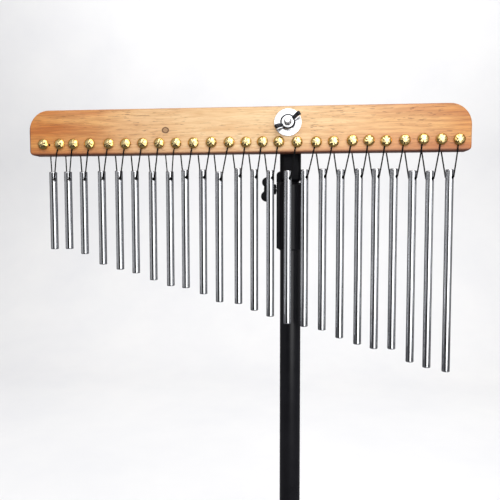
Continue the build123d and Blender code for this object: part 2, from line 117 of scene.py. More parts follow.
def ring(bm, matrix, radii, heights):
    """Vertices evenly turned about the local Z of matrix, each at its own radius and height."""
    verts = []
    for k, (radius, height) in enumerate(zip(radii, heights)):
        angle = 2 * math.pi * k / len(radii)
        point = Vector((radius * math.cos(angle), radius * math.sin(angle), height))
        verts.append(bm.verts.new(matrix @ (point * MM)))
    return verts


def skin(bm, rings):
    """Joins the rings in turn and closes both ends; a ring of one vertex is a pole."""
    for lower, upper in zip(rings[:-1], rings[1:]):
        count = max(len(lower), len(upper))
        for i in range(count):
            j = (i + 1) % count
            if len(lower) == 1:
                bm.faces.new((lower[0], upper[j], upper[i]))
            elif len(upper) == 1:
                bm.faces.new((lower[i], lower[j], upper[0]))
            else:
                bm.faces.new((lower[i], lower[j], upper[j], upper[i]))
    if len(rings[0]) > 1:
        bm.faces.new(list(reversed(rings[0])))
    if len(rings[-1]) > 1:
        bm.faces.new(rings[-1])


def lathe(bm, profile, segments, matrix):
    """Revolves (radius, height) pairs about the local Z of matrix."""
    rings = []
    for radius, height in profile:
        count = segments if radius > 0 else 1
        rings.append(ring(bm, matrix, [radius] * count, [height] * count))
    skin(bm, rings)


def lathe_object(name, profile, segments, matrix, material=None):
    bm = bmesh.new()
    lathe(bm, profile, segments, matrix)
    return object_from(name, bm, material)


def aim(origin, direction):
    """Matrix at origin with its local Z along a level direction and its local Y upright."""
    axis_z = Vector(direction).normalized()
    axis_x = Vector((0, 0, 1)).cross(axis_z)
    axis_x.normalize()
    matrix = Matrix((axis_x, axis_z.cross(axis_x), axis_z)).transposed().to_4x4()
    matrix.translation = Vector(origin) * MM
    return matrix


def add_boolean(ob, tool, operation):
    modifier = ob.modifiers.new(operation.lower(), "BOOLEAN")
    modifier.object, modifier.operation, modifier.solver = tool, operation, "EXACT"


def soften(ob, voxel, passes):
    """Melts joined parts into one skin with rounded edges; voxel is in metres."""
    remesh = ob.modifiers.new("soften", "REMESH")
    remesh.mode, remesh.voxel_size = "VOXEL", voxel
    smooth = ob.modifiers.new("smooth", "SMOOTH")
    smooth.factor, smooth.iterations = 0.5, passes


def bake(name, base, tools, material):
    """Replaces base and its boolean tools by one object that holds the finished mesh."""
    bpy.context.view_layer.update()
    depsgraph = bpy.context.evaluated_depsgraph_get()
    mesh = bpy.data.meshes.new_from_object(base.evaluated_get(depsgraph))
    for ob in (*tools, base):
        bpy.data.objects.remove(ob)
    mesh.materials.clear()
    mesh.materials.append(material)
    return add_object(name, mesh)


# ------------------------------------------------------------ shader helpers
class Graph:
    """Adds nodes to a tree; an input takes a number, a tuple or another node's output."""

    def __init__(self, tree):
        self.tree = tree

    def feed(self, socket, value):
        if isinstance(value, bpy.types.NodeSocket):
            self.tree.links.new(value, socket)
        elif socket.type == "RGBA":
            socket.default_value = (*value, 1)
        else:
            socket.default_value = value

    def add(self, kind, inputs=None, **settings):
        node = self.tree.nodes.new(kind)
        for key, value in settings.items():
            setattr(node, key, value)
        for key, value in (inputs or {}).items():
            self.feed(node.inputs[key], value)
        return node

    def split(self, vector):
        return self.add("ShaderNodeSeparateXYZ", {0: vector}).outputs

    def calc(self, operation, a, b=None, clamp=False):
        inputs = {0: a} if b is None else {0: a, 1: b}
        return self.add("ShaderNodeMath", inputs, operation=operation, use_clamp=clamp).outputs[0]

    def plus(self, a, b, clamp=False):
        return self.calc("ADD", a, b, clamp)

    def minus(self, a, b):
        return self.calc("SUBTRACT", a, b)

    def times(self, a, b):
        return self.calc("MULTIPLY", a, b)

    def length(self, x, z):
        squares = self.plus(self.calc("POWER", x, 2.0), self.calc("POWER", z, 2.0))
        return self.calc("SQRT", squares)

    def map_range(self, value, low, high):
        """0 at low and 1 at high."""
        inputs = {"Value": value, "From Min": low, "From Max": high}
        return self.add("ShaderNodeMapRange", inputs).outputs[0]

    def ramp(self, value, stops):
        """Colour ramp through (position, grey or colour) stops."""
        node = self.add("ShaderNodeValToRGB", {"Fac": value})
        elements = node.color_ramp.elements
        while len(elements) < len(stops):
            elements.new(0.5)
        for element, (position, color) in zip(elements, stops):
            element.position = position
            element.color = (*color, 1) if isinstance(color, tuple) else (color, color, color, 1)
        return node.outputs["Color"]

    def mix(self, factor, a, b, blend="MIX"):
        # inputs 0, 6, 7 and output 2 are the float factor and the colour sockets
        inputs = {0: factor, 6: a, 7: b}
        node = self.add("ShaderNodeMix", inputs, data_type="RGBA", blend_type=blend)
        return node.outputs[2]


class Shader(Graph):
    """A principled material, textured in object space (metres)."""

    def __init__(self, name):
        self.material = bpy.data.materials.new(name)
        self.material.use_nodes = True
        super().__init__(self.material.node_tree)
        self.principled = self.tree.nodes["Principled BSDF"]
        self.coords = self.add("ShaderNodeTexCoord").outputs["Object"]

    def set(self, **inputs):
        for key, value in inputs.items():
            self.feed(self.principled.inputs[key.replace("_", " ")], value)

    def plain_noise(self, vector, scale, detail=4.0, rough=0.55):
        inputs = {"Scale": scale, "Detail": detail, "Roughness": rough, "Vector": vector}
        return self.add("ShaderNodeTexNoise", inputs).outputs["Fac"]

    def noise(self, scale, detail=4.0, rough=0.55, offset=(0, 0, 0), source=None):
        """Noise with scale cells per metre, one number or one for each axis."""
        scale = scale if isinstance(scale, tuple) else (scale, scale, scale)
        inputs = {"Scale": scale, "Location": offset, "Vector": source or self.coords}
        mapped = self.add("ShaderNodeMapping", inputs).outputs["Vector"]
        return self.plain_noise(mapped, 1.0, detail, rough)

    def object_normal(self, output):
        """X, Y and Z of the named geometry normal in object space."""
        normal = self.add("ShaderNodeNewGeometry").outputs[output]
        turned = self.add("ShaderNodeVectorTransform", {0: normal}, vector_type="NORMAL",
                          convert_from="WORLD", convert_to="OBJECT")
        return self.split(turned.outputs[0])

    def bump(self, height, strength, distance):
        inputs = {"Strength": strength, "Distance": distance, "Height": height}
        self.set(Normal=self.add("ShaderNodeBump", inputs).outputs["Normal"])


# ----------------------------------------------------------------- materials
# tone along the bar: (position from the -X end to the +X end, paleness)
WOOD_TONE = [(0.0, 0.02), (0.07, 0.05), (0.16, 0.17), (0.275, 0.76), (0.40, 0.88),
             (0.52, 0.98), (0.70, 0.66), (0.84, 0.35), (0.955, 0.09), (1.0, 0.03)]
# brightness along the bar, which falls off towards the +X end
WOOD_SHADE = [(0.0, 1.0), (0.74, 1.0), (0.86, 0.94), (0.96, 0.87), (1.0, 0.86)]


def band_and_painted_edge_shade(wood, color, x, z, broad):
    """Browns a band low on the bar, and paints shade on the lower edge and underside, on the -X
    end face and along the top edge.
    """
    band_z = wood.plus(z, wood.times(broad, 0.004))
    edge_z = wood.plus(z, wood.times(broad, 0.0012))
    # coordinate, where the tint starts, where it is full, strength, colour
    tints = [
        # darker band low on the front
        (band_z, BAR_Z - 13.0, BAR_Z - 21.0, 0.58, (0.47, 0.155, 0.055)),
        # painted shade on the lower edge and the underside
        (edge_z, BAR_Z - 19.9, BAR_Z - 22.0, 0.93, (0.130, 0.038, 0.018)),
        # painted shade on the -X end face
        (x, BAR_X - 223.0, BAR_X - 224.4, 0.88, (0.13, 0.042, 0.018)),
        # painted shade along the top edge
        (z, BAR_Z + 21.6, BAR_Z + 22.8, 0.72, (0.30, 0.115, 0.040)),
    ]
    for coordinate, start, full, strength, tint in tints:
        mask = wood.map_range(coordinate, start * MM, full * MM)
        color = wood.mix(wood.times(mask, strength), color, tint)
    return color


def add_knot(wood, color, x, y, z):
    """Draws one small dark ring on the front face only."""
    across = wood.times(wood.minus(x, (BAR_X - 79.6) * MM), 0.86)
    upward = wood.minus(z, (BAR_Z + 0.9) * MM)
    distance = wood.length(across, upward)
    wobble = wood.times(wood.minus(wood.noise(400, detail=2.0), 0.5), 0.0009)
    distance = wood.plus(distance, wobble)
    # the ramp runs over 5 mm
    mask = wood.ramp(wood.times(distance, 200.0),
                     [(0.0, 0.60), (0.34, 0.48), (0.46, 1.0), (0.60, 1.0), (0.70, 0.0)])
    on_front = wood.calc("LESS_THAN", y, (BAR_Y - 3.0) * MM)
    mask = wood.times(mask, on_front)
    return wood.mix(wood.times(mask, 0.95), color, (0.13, 0.058, 0.022))


def wood_material():
    wood = Shader("honey_wood")
    x, y, z = wood.split(wood.coords)

    # slow wander of the grain lines along the board
    wander = wood.noise((6, 40, 22), detail=2.0, rough=0.5)
    warped_z = wood.plus(z, wood.times(wander, 0.010))
    warped = wood.add("ShaderNodeCombineXYZ", {"X": x, "Y": y, "Z": warped_z}).outputs[0]
    broad = wood.noise((9, 60, 95), detail=3.0, source=warped)
    grain = wood.noise((30, 260, 520), rough=0.62, source=warped)
    fine = wood.noise((60, 900, 2300), detail=3.0, rough=0.65, source=warped)
    pores = wood.noise((105, 600, 900), detail=2.0, rough=0.5, offset=(3, 1, 2), source=warped)
    pore_mask = wood.ramp(pores, [(0.595, 0.0), (0.640, 1.0)])
    patches = wood.noise((16, 60, 60), detail=2.0, offset=(5, 2, 1))
    pore_mask = wood.times(pore_mask, wood.ramp(patches, [(0.40, 0.20), (0.60, 1.0)]))

    # paleness: deep and warm at both ends, pale in the middle, with some noise
    along = wood.map_range(x, (BAR_X - BAR_HALF_LENGTH) * MM, (BAR_X + BAR_HALF_LENGTH) * MM)
    tone = wood.ramp(along, WOOD_TONE)
    tone_noise = wood.noise((11, 30, 40), detail=3.0, offset=(1, 4, 2))
    pale = wood.plus(tone, wood.times(wood.minus(tone_noise, 0.5), 0.55), clamp=True)
    base = wood.mix(pale, (0.57, 0.178, 0.030), (0.82, 0.565, 0.300))
    dark = wood.mix(pale, (0.34, 0.100, 0.022), (0.64, 0.345, 0.140))
    light = wood.mix(pale, (0.77, 0.370, 0.095), (0.86, 0.640, 0.370))

    # light bands, then dark grain, fine lines and pores
    color = wood.mix(wood.ramp(broad, [(0.36, 0.0), (0.66, 1.0)]), base, light)
    color = wood.mix(wood.ramp(grain, [(0.40, 0.46), (0.56, 0.0)]), color, dark)
    fine_lines = wood.ramp(fine, [(0.38, 1.0), (0.55, 0.0)])
    color = wood.mix(wood.times(fine_lines, 0.30), color, dark)
    pore_strength = wood.minus(0.72, wood.times(pale, 0.20))
    color = wood.mix(wood.times(pore_mask, pore_strength), color, (0.17, 0.060, 0.022))

    color = band_and_painted_edge_shade(wood, color, x, z, broad)
    color = add_knot(wood, color, x, y, z)
    color = wood.mix(1.0, color, wood.ramp(along, WOOD_SHADE), blend="MULTIPLY")
    wood.set(Base_Color=color, Roughness=wood.ramp(grain, [(0.3, 0.46), (0.7, 0.34)]),
             Coat_Weight=0.12, Coat_Roughness=0.30, IOR=1.45)
    height = wood.minus(wood.times(fine, 0.35), wood.times(pore_mask, 0.9))
    height = wood.plus(height, wood.times(grain, 0.35))
    wood.bump(height, strength=0.30, distance=0.00025)
    return wood.material


def metal(name, color, shine, rough, scale, bump, stains, metallic=1.0):
    """Metal with roughness from shine to rough, drawn lines of the given scale and stains."""
    shader = Shader(name)
    drawn = shader.noise(scale, rough=0.6)
    cloud = shader.noise((70, 70, 30), detail=3.0, rough=0.6)
    spots = shader.noise((520, 520, 360), rough=0.7)
    dark = tuple(channel * 0.72 for channel in color)
    for mask in (shader.ramp(cloud, [(0.40, 1.0), (0.62, 0.0)]),
                 shader.ramp(spots, [(0.62, 0.0), (0.74, 1.0)])):
        color = shader.mix(shader.times(mask, stains), color, dark)
    wear = shader.plus(shader.times(drawn, 0.6), shader.times(cloud, 0.4))
    shader.set(Base_Color=color, Metallic=metallic,
               Roughness=shader.ramp(wear, [(0.32, shine), (0.68, rough)]))
    shader.bump(drawn, strength=bump, distance=0.0002)
    return shader.material


def plastic(name, color, rough, grain, bump, specular):
    """Moulded or painted surface with grain cells per metre, soft clouds and a little dust."""
    shader = Shader(name)
    texture = shader.noise(grain, detail=2.0, rough=0.5)
    cloud = shader.noise(45, rough=0.6)
    dust = shader.ramp(shader.noise(260, detail=5.0, rough=0.75), [(0.66, 0.0), (0.80, 1.0)])
    lighter = tuple(min(1, channel * 1.5 + 0.0006) for channel in color)
    mixed = shader.mix(shader.ramp(cloud, [(0.35, 0.0), (0.7, 1.0)]), color, lighter)
    mixed = shader.mix(shader.times(dust, 0.05), mixed, (0.22, 0.21, 0.20))
    shader.set(Base_Color=mixed, Coat_Weight=0.0, Coat_Roughness=0.08,
               Roughness=shader.ramp(cloud, [(0.3, rough * 0.85), (0.7, rough * 1.15)]),
               Specular_IOR_Level=specular)
    shader.bump(texture, strength=bump, distance=0.0001)
    return shader.material


def cast_zinc():
    """Plated casting: plated metal on the hub's front and on faces that look down; every other
    face gets a painted dark reflection, a near-black colour that is not metal.
    """
    zinc = Shader("plated_casting_painted_reflection")
    grain = zinc.noise(900, rough=0.65)
    cloud = zinc.noise(300, detail=3.0, rough=0.6)
    _, normal_y, normal_z = zinc.object_normal("Normal")
    front = zinc.ramp(zinc.times(normal_y, -1.0), [(0.86, 0.0), (0.95, 1.0)])
    x, _, z = zinc.split(zinc.coords)
    from_axis = zinc.length(zinc.minus(x, BOLT_X * MM), zinc.minus(z, BOLT_Z * MM))
    # the hub ends between 6.3 and 6.7 mm from the bolt axis
    on_hub = zinc.ramp(zinc.times(from_axis, 100.0), [(0.63, 1.0), (0.67, 0.0)])
    front = zinc.times(front, on_hub)
    under = zinc.ramp(zinc.times(normal_z, -1.0), [(0.72, 0.0), (0.82, 1.0)])
    under = zinc.times(under, zinc.minus(1.0, on_hub))
    bright = zinc.calc("MAXIMUM", front, under)
    # painted dark reflection: near-black, non-metal colour on the faces that would reflect dark
    # surroundings
    painted_dark_reflection = zinc.mix(cloud, (0.003, 0.003, 0.005), (0.016, 0.017, 0.024))
    plating = zinc.mix(zinc.ramp(cloud, [(0.35, 0.25), (0.65, 0.0)]),
                       (0.90, 0.91, 0.93), (0.62, 0.63, 0.65))
    zinc.set(Base_Color=zinc.mix(bright, painted_dark_reflection, plating), Metallic=bright,
             Roughness=zinc.ramp(grain, [(0.3, 0.22), (0.7, 0.36)]), Specular_IOR_Level=0.25)
    zinc.bump(grain, strength=0.10, distance=0.0001)
    return zinc.material


def hammered_brass():
    """Lacquered brass with a painted highlight: paler where the faces turn to the front, deeper
    golden towards the rim.
    """
    brass = Shader("hammered_brass")
    cloud = brass.noise(380, detail=3.0, rough=0.6)
    pits = brass.noise(1500, detail=3.0, rough=0.6)
    normal_y = brass.object_normal("True Normal")["Y"]
    # painted highlight: the colour turns pale on faces that point to the front
    crown = brass.ramp(brass.times(normal_y, -1.0), [(0.80, 0.0), (0.97, 1.0)])
    color = brass.mix(crown, (0.98, 0.60, 0.150), (1.0, 0.80, 0.40))
    tarnish = brass.times(brass.ramp(cloud, [(0.40, 1.0), (0.60, 0.0)]), 0.25)
    brass.set(Base_Color=brass.mix(tarnish, color, (0.62, 0.36, 0.09)), Metallic=1.0,
              Roughness=brass.ramp(cloud, [(0.3, 0.13), (0.7, 0.24)]))
    brass.bump(pits, strength=0.06, distance=0.0001)
    return brass.material


def cord_material():
    cord = Shader("waxed_black_cord")
    fuzz = cord.noise(3500, detail=3.0, rough=0.6)
    color = cord.mix(cord.ramp(fuzz, [(0.40, 0.0), (0.70, 1.0)]),
                     (0.002, 0.002, 0.0025), (0.008, 0.0075, 0.0075))
    cord.set(Base_Color=color, Roughness=0.7, Specular_IOR_Level=0.12)
    cord.bump(fuzz, strength=0.35, distance=0.0001)
    return cord.material


MATERIALS = {
    "wood": wood_material(),
    "rod": metal("drawn_aluminium", (0.74, 0.75, 0.77), shine=0.09, rough=0.19,
                 scale=(2600, 2600, 16), bump=0.10, stains=0.20),
    "brass": metal("polished_brass", (1.0, 0.74, 0.28), shine=0.12, rough=0.22,
                   scale=700, bump=0.03, stains=0.25),
    "stud": hammered_brass(),
    "zinc": metal("bright_zinc", (0.88, 0.89, 0.91), shine=0.16, rough=0.30,
                  scale=420, bump=0.05, stains=0.14),
    "steel": metal("plain_steel", (0.60, 0.61, 0.63), shine=0.25, rough=0.38,
                   scale=900, bump=0.05, stains=0.25),
    "paint": plastic("gloss_black_paint", (0.0042, 0.0042, 0.0058), rough=0.32,
                     grain=900, bump=0.08, specular=0.42),
    "gloss": plastic("gloss_black_moulding", (0.0020, 0.0018, 0.0034), rough=0.30,
                     grain=1600, bump=0.06, specular=0.12),
    "matte": plastic("black_moulding", (0.0040, 0.0038, 0.0056), rough=0.38,
                     grain=2200, bump=0.14, specular=0.24),
    "rubber": plastic("black_rubber", (0.018, 0.018, 0.018), rough=0.72,
                      grain=1200, bump=0.25, specular=0.3),
    "nylon": plastic("white_nylon", (0.70, 0.69, 0.65), rough=0.45,
                     grain=1600, bump=0.06, specular=0.5),
    "fibre": plastic("pressed_fibre", (0.10, 0.035, 0.020), rough=0.75,
                     grain=1500, bump=0.35, specular=0.25),
    "cord": cord_material(),
    # painted shade: the inside of the rod holes is near-black
    "bore": metal("drilled_bore_painted_shade", (0.05, 0.05, 0.052), shine=0.385, rough=0.55,
                  scale=(900, 900, 14), bump=0.04, stains=0.2, metallic=0.6),
    "zinc_cast": cast_zinc(),
}

# material of each CAD piece; the pieces not listed are rods
NODE_MATERIALS = {
    "crossbar": "wood", "front_washer": "zinc", "rear_washer": "fibre", "clamp_bolt": "zinc",
    "stand_head": "gloss", "head_pin": "steel", "upper_tube": "paint", "glide_bush": "nylon",
    "bush_rivet": "steel", "lower_tube": "paint", "lock_collar": "matte",
    "threaded_insert": "brass", "lock_screw": "zinc", "lock_knob": "matte",
    "tripod_hub": "matte", "hub_set_screw": "steel", "leg_pins": "steel",
    "leg_left": "paint", "leg_right": "paint", "leg_rear": "paint", "foot_left": "rubber",
    "foot_right": "rubber", "foot_rear": "rubber", "pole_foot": "rubber",
    "wing_nut": "zinc", "stud_nails": "brass", "hanging_cord": "cord",
}


def paint_cad_pieces():
    for name, ob in nodes.items():
        material = MATERIALS[NODE_MATERIALS.get(name, "rod")]
        if not ob.data.materials:
            ob.data.materials.append(material)
        for slot in ob.material_slots:
            slot.link = "OBJECT"
            slot.material = material


# --------------------------------------------------------------------- studs
STUD_SEGMENTS = 16
STUD_LIFT = 1.5     # gap between the bar and the rim of the dome
STUD_TILT = 0.05    # largest lean, in radians
# dome from rim to crown: radius, height, depth of the hammer marks
STUD_DOME = [(5.55, 0.0, 0.0), (5.65, 0.2, 0.0), (5.45, 0.50, 0.05),
             (4.75, 1.10, 0.15), (3.6, 1.75, 0.20), (2.0, 2.25, 0.11)]
STUD_CROWN = 2.45
# shank rings: radius, height
STUD_NECK, STUD_SHANK_END, STUD_TIP = (0.9, 0.05), (0.85, -12.0), -13.3


def add_stud(bm, x, z):
    """One hammered dome nail; its marks, turn and lean are random."""
    depth = rng.uniform(0.4, 1.2, STUD_SEGMENTS)
    turn = rng.uniform(0, 2 * math.pi)
    lean_x = Matrix.Rotation(rng.uniform(-STUD_TILT, STUD_TILT), 4, "X")
    lean_y = Matrix.Rotation(rng.uniform(-STUD_TILT, STUD_TILT), 4, "Y")
    place = aim((x, FRONT - STUD_LIFT, z), (0, -1, 0))
    matrix = place @ (lean_x @ lean_y) @ Matrix.Rotation(turn, 4, "Z")

    def plain_ring(radius, height):
        return ring(bm, matrix, [radius] * STUD_SEGMENTS, [height] * STUD_SEGMENTS)

    dome = []
    for radius, height, mark in STUD_DOME:
        dents = [(mark if k % 2 else -mark) * depth[k] for k in range(STUD_SEGMENTS)]
        dome.append(ring(bm, matrix, [radius + dent * 0.4 for dent in dents],
                         [height + dent * 0.6 for dent in dents]))
    crown = ring(bm, matrix, [0], [STUD_CROWN])
    neck = plain_ring(*STUD_NECK)
    shank_end = plain_ring(*STUD_SHANK_END)
    tip = ring(bm, matrix, [0], [STUD_TIP])
    skin(bm, [tip, shank_end, neck, *dome, crown])


def make_studs():
    bm = bmesh.new()
    for x, z in zip(STUD_X, STUD_Z):
        add_stud(bm, BAR_X + x, BAR_Z + z)
    ob = object_from("stud_nails_hammered", bm, MATERIALS["stud"])
    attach(ob, "crossbar")
    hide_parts("stud_nails")


# ---------------------------------------------------------------------- rods
ROD_EDGE = 0.7          # height and width of the rounded end edge
HOLE_FLARE = 0.35       # widening of the hole at both mouths


def rod_profile(length):
    """(radius, height) from the lower end, rounded alike at both ends."""
    edge = ROD_EDGE
    end = [(0, 0), (ROD_RADIUS - edge - 0.9, 0), (ROD_RADIUS - edge, 0.03),
           (ROD_RADIUS - edge * 0.55, 0.12), (ROD_RADIUS - 0.12, edge * 0.6),
           (ROD_RADIUS, edge)]
    # even rings up the shaft, then one ring below and one above the hole
    first = edge + 0.4
    count = max(2, int((length - 20) / 24))
    shaft = [first + (length - 2 * edge - 13.2) * k / count for k in range(count + 1)]
    shaft += [length - ROD_HOLE_DOWN - 3, length - ROD_HOLE_DOWN + 3, length - first]
    return (end + [(ROD_RADIUS, height) for height in shaft]
            + [(radius, length - height) for radius, height in reversed(end)])


def make_rods():
    mouth = ROD_HOLE_RADIUS + HOLE_FLARE
    drill = [(mouth, -6), (mouth, -ROD_RADIUS - 0.1), (ROD_HOLE_RADIUS, -ROD_RADIUS + 0.45),
             (ROD_HOLE_RADIUS, ROD_RADIUS - 0.45), (mouth, ROD_RADIUS + 0.1), (mouth, 6)]
    for i, (node, x) in enumerate(zip(ROD_NODES, ROD_X)):
        low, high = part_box(node)
        top, bottom = high[2] / MM, low[2] / MM
        hole_z = top - ROD_HOLE_DOWN
        name = f"rod_{i + 1:02d}"
        rod = lathe_object(name, rod_profile(top - bottom), 88,
                           Matrix.Translation(Vector((x, BAR_Y, bottom)) * MM),
                           MATERIALS["rod"])
        cutter = lathe_object("cutter", drill, 32,
                              aim((x, BAR_Y, hole_z), (HOLE_DIR_X, HOLE_DIR_Y, 0)))
        add_boolean(rod, cutter, "DIFFERENCE")
        ob = bake(name, rod, [cutter], MATERIALS["rod"])
        ob.data.materials.append(MATERIALS["bore"])
        # faces near the hole whose centres lie inside the rod belong to the bore, which is painted
        # near-black as shade
        for face in ob.data.polygons:
            centre = face.center / MM
            inside = math.hypot(centre.x - x, centre.y - BAR_Y) < 3.52
            if abs(centre.z - hole_z) < 2.2 and inside:
                face.material_index = 1
        shade_smooth(ob.data, sharp_angle=24)
        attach(ob, node)
        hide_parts(node)


# --------------------------------------------------------------------- cords
STRANDS = 4
STRAND_TWIST = 4.18             # radians per mm
THIN_BAYS = (0, 1, 7)           # bays with a thinner cord
SHORT_BAYS = (0, 7)             # bays whose cord stays nearer its rod in front
NARROW_BAY = 1                  # bay whose cord stays nearer its rod at the back
# the cord passes through the bar beside each stud, at this offset from it
CORD_HOLE_X, CORD_HOLE_Z = -1.2, -2.6
FIRST_CORD_HOLE = (BAR_X - 203.0, BAR_Z - 12.6)
# stopper knot: number of turns, their radius, offset from the middle, wave along Y, cord radius
KNOT_TURNS, KNOT_RADIUS, KNOT_OFFSET, KNOT_WAVE, KNOT_CORD = 3, 0.42, 0.22, 0.28, 0.36


def rounded(points, bend):
    """Polyline through the points with each corner turned into an arc of radius bend."""
    points = [np.array(point, float) for point in points]
    path = [points[0]]
    for before, corner, after in zip(points[:-2], points[1:-1], points[2:]):
        back, ahead = before - corner, after - corner
        back, ahead = back / np.linalg.norm(back), ahead / np.linalg.norm(ahead)
        half = math.acos(np.clip(back @ ahead, -1, 1)) / 2
        reach = bend / math.tan(half)
        middle = (back + ahead) / np.linalg.norm(back + ahead)
        centre = corner + middle * bend / math.sin(half)
        start, end = corner + back * reach - centre, corner + ahead * reach - centre
        sweep = math.acos(np.clip(start @ end / bend**2, -1, 1))
        count = max(2, int(math.degrees(sweep) / 9))
        for k in range(count + 1):
            t = k / count
            arm = math.sin((1 - t) * sweep) * start + math.sin(t * sweep) * end
            path.append(centre + arm / max(math.sin(sweep), 1e-6))
    path.append(points[-1])
    return path


def rope(bm, path, radius, step=0.30, segments=20):
    """Round cord of twisted strands along a polyline that doesn't start upright."""
    path = np.array(path)
    run = np.concatenate([[0], np.cumsum(np.linalg.norm(np.diff(path, axis=0), axis=1))])
    stations = np.linspace(0, run[-1], int(run[-1] / step) + 1)
    centres = np.stack([np.interp(stations, run, path[:, axis]) for axis in range(3)], 1)
    tangents = np.gradient(centres, axis=0)
    tangents /= np.linalg.norm(tangents, axis=1)[:, None]
    side = np.cross(tangents[0], (0, 0, 1.0))
    rings = []
    for station, centre, tangent in zip(stations, centres, tangents):
        # carry the side direction along so that the section doesn't spin
        side = side - tangent * (side @ tangent)
        side /= np.linalg.norm(side)
        across = np.cross(tangent, side)
        section = []
        for k in range(segments):
            angle = 2 * math.pi * k / segments
            ridge = math.cos(STRANDS * angle - STRAND_TWIST * station)
            offset = (side * math.cos(angle) + across * math.sin(angle)) \
                * (radius * (0.93 + 0.07 * ridge))
            section.append(bm.verts.new(Vector(centre + offset) * MM))
        rings.append(section)
    skin(bm, rings)


def add_knot_turns(bm, x, z):
    """Stopper knot in front of the bar: small overlapping turns."""
    for k in range(KNOT_TURNS):
        phase = 2 * math.pi * k / KNOT_TURNS
        loop = [(x + KNOT_OFFSET * math.cos(phase) + KNOT_RADIUS * math.cos(t),
                 FRONT - 0.72 + KNOT_WAVE * math.sin(t * 2 + phase),
                 z + KNOT_OFFSET * math.sin(phase) + KNOT_RADIUS * math.sin(t))
                for t in np.linspace(0, 2 * math.pi * 0.97, 30)]
        rope(bm, loop, KNOT_CORD, step=0.2, segments=12)


def make_cords():
    """One piece of cord per rod: through the bar, down the back, through the rod, up the front."""
    holes = [(BAR_X + x + CORD_HOLE_X, BAR_Z + z + CORD_HOLE_Z)
             for x, z in zip(STUD_X, STUD_Z)]
    holes[0] = FIRST_CORD_HOLE
    edge_z = BAR_BOTTOM + 1.0
    clear = ROD_RADIUS + CORD_RADIUS + 0.35
    clear_x, clear_y = clear * HOLE_DIR_X, clear * HOLE_DIR_Y
    for i, (node, x) in enumerate(zip(ROD_NODES, ROD_X)):
        rod_hole_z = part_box(node)[1][2] / MM - ROD_HOLE_DOWN
        (start_x, start_z), (end_x, end_z) = holes[i], holes[i + 1]
        reach = min(9.2, max(5.0, 0.775 * (end_x - x) + 0.9))
        if i in SHORT_BAYS:
            reach -= 0.8
        back_reach = CORD_SPREAD - (0.5 if i == NARROW_BAY else 0.0)
        points = [
            (start_x, FRONT - 0.7 if i == 0 else FRONT + 0.3, start_z),
            (start_x, BACK + CORD_OFF, start_z),
            (x - back_reach, BACK + CORD_OFF, edge_z),
            (x - clear_x, BAR_Y - clear_y, rod_hole_z),
            (x + clear_x, BAR_Y + clear_y, rod_hole_z),
            (x + reach, FRONT - CORD_OFF, edge_z),
            (end_x, FRONT - CORD_OFF, end_z),
        ]
        bm = bmesh.new()
        rope(bm, rounded(points, CORD_BEND), CORD_RADIUS * (1.08 if i in THIN_BAYS else 1.22))
        if i == 0:
            add_knot_turns(bm, start_x, start_z)
        ob = object_from(f"cord_bay_{i + 1:02d}", bm, MATERIALS["cord"])
        shade_smooth(ob.data)
        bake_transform(ob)
        if i == 0:
            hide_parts("hanging_cord")


# ------------------------------------------------------------------ wing nut
# built with local Z along the bolt towards the front and local X along the wings
NUT_Y = FRONT - 1.6 - 0.05
WING_TURN = 30.0    # degrees about the bolt
# hub: radius, height
NUT_HUB = [(0, 0.02), (7.3, 0.02), (7.7, 0.4), (7.65, 3.0), (7.55, 4.0), (7.35, 4.4),
           (6.2, 5.5), (5.9, 5.76), (0, 5.8)]
# wing outline: distance from the axis, height
WING_OUTLINE = [(3.2, 0.9), (6.7, 1.0), (9.3, 3.9), (10.9, 6.2), (12.7, 8.5), (13.9, 10.3),
                (14.35, 12.0), (14.2, 13.7), (13.5, 14.9), (12.4, 15.35), (11.2, 15.1),
                (10.2, 14.0), (9.2, 12.0), (8.1, 10.0), (6.7, 7.5), (5.4, 5.5), (3.2, 4.9)]
# wing thickness: place across the wing, inset of the outline there
WING_LAYERS = [(-2.2, 0.6), (-1.95, 0.2), (-1.3, 0.0), (1.3, 0.0), (1.95, 0.2), (2.2, 0.6)]
# bore with a flared mouth: radius, height
NUT_BORE = [(0, -2), (3.12, -2), (3.12, 5.3), (3.7, 5.95), (3.7, 20), (0, 20)]


def make_wing(sign):
    """One wing, on the +X or -X side by sign, with its edges eased by the insets."""
    bm = bmesh.new()
    layers = []
    for y, inset in WING_LAYERS:
        layer = []
        for k, (x, z) in enumerate(WING_OUTLINE):
            before = WING_OUTLINE[k - 1]
            after = WING_OUTLINE[(k + 1) % len(WING_OUTLINE)]
            along_x, along_z = after[0] - before[0], after[1] - before[1]
            length = math.hypot(along_x, along_z)
            inset_x, inset_z = along_z / length * inset, -along_x / length * inset
            point = Vector((sign * (x - inset_x), y * sign, z - inset_z))
            layer.append(bm.verts.new(point * MM))
        layers.append(layer)
    skin(bm, layers)
    bmesh.ops.recalc_face_normals(bm, faces=bm.faces)
    return object_from("nut_wing", bm)


def make_wing_nut():
    hub = lathe_object("nut_hub", NUT_HUB, 72, Matrix.Identity(4))
    wings = [make_wing(1), make_wing(-1)]
    for wing in wings:
        add_boolean(hub, wing, "UNION")
    cutter = lathe_object("nut_cut", NUT_BORE, 48, Matrix.Identity(4))
    add_boolean(hub, cutter, "DIFFERENCE")
    soften(hub, voxel=0.00020, passes=3)
    ob = bake("wing_nut_cast", hub, [*wings, cutter], MATERIALS["zinc_cast"])
    place = aim((BOLT_X, NUT_Y, BOLT_Z), (0, -1, 0))
    ob.data.transform(place @ Matrix.Rotation(math.radians(WING_TURN), 4, "Z"))
    shade_smooth(ob.data)
    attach(ob, "wing_nut")
    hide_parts("wing_nut")


